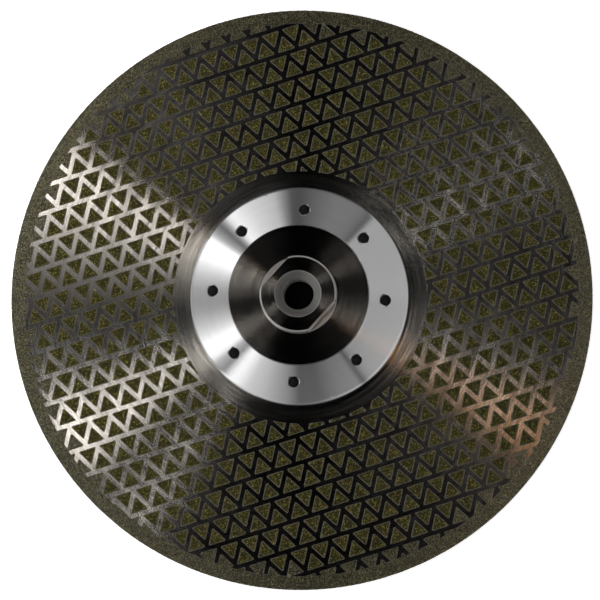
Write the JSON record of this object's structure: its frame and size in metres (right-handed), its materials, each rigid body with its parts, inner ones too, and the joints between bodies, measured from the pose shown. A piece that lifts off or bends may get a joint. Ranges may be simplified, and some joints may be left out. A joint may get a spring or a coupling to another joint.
{
  "type": "diamond grinding wheel",
  "caption": "Flat steel grinding disc with raised triangular diamond pads on both faces and a screw-on flanged hub threaded for an angle grinder spindle.",
  "frame": {"origin": "centre of the front (working) face, which is also the face the disc lies on", "axes": "+Z along the spindle axis, from the front face towards the nose of the hub; +X is a pad-pattern reference and the disc is round about Z"},
  "size_m": [0.23, 0.23, 0.0146],
  "materials": {
    "core_steel": "circular brushed carbon steel, bright",
    "ring_aluminium": "finely turned and polished",
    "hub_steel": "turned and polished steel",
    "screw_steel": "black oxide",
    "diamond_plating": "olive diamond grit in electroplated nickel"
  },
  "bodies": {
    "root": {"clamp_ring": "ring_aluminium", "flange_screw_1": "screw_steel", "flange_screw_2": "screw_steel", "flange_screw_3": "screw_steel", "flange_screw_4": "screw_steel", "flange_screw_5": "screw_steel", "flange_screw_6": "screw_steel", "flange_screw_7": "screw_steel", "flange_screw_8": "screw_steel", "front_pad_row_01": "diamond_plating", "front_pad_row_02": "diamond_plating", "front_pad_row_03": "diamond_plating", "front_pad_row_04": "diamond_plating", "front_pad_row_05": "diamond_plating", "front_pad_row_06": "diamond_plating", "front_pad_row_07": "diamond_plating", "front_pad_row_08": "diamond_plating", "front_pad_row_09": "diamond_plating", "front_pad_row_10": "diamond_plating", "front_pad_row_11": "diamond_plating", "front_pad_row_12": "diamond_plating", "front_pad_row_13": "diamond_plating", "front_pad_row_14": "diamond_plating", "front_pad_row_15": "diamond_plating", "front_pad_row_16": "diamond_plating", "front_pad_row_17": "diamond_plating", "front_pad_row_18": "diamond_plating", "front_pad_row_19": "diamond_plating", "front_pad_row_20": "diamond_plating", "rear_pad_row_01": "diamond_plating", "rear_pad_row_02": "diamond_plating", "rear_pad_row_03": "diamond_plating", "rear_pad_row_04": "diamond_plating", "rear_pad_row_05": "diamond_plating", "rear_pad_row_06": "diamond_plating", "rear_pad_row_07": "diamond_plating", "rear_pad_row_08": "diamond_plating", "rear_pad_row_09": "diamond_plating", "rear_pad_row_10": "diamond_plating", "rear_pad_row_11": "diamond_plating", "rear_pad_row_12": "diamond_plating", "rear_pad_row_13": "diamond_plating", "rear_pad_row_14": "diamond_plating", "rear_pad_row_15": "diamond_plating", "rear_pad_row_16": "diamond_plating", "rear_pad_row_17": "diamond_plating", "rear_pad_row_18": "diamond_plating", "rear_pad_row_19": "diamond_plating", "rear_pad_row_20": "diamond_plating", "rim_coating": "diamond_plating", "steel_core": "core_steel", "threaded_hub": "hub_steel"}
  },
  "joints": []
}
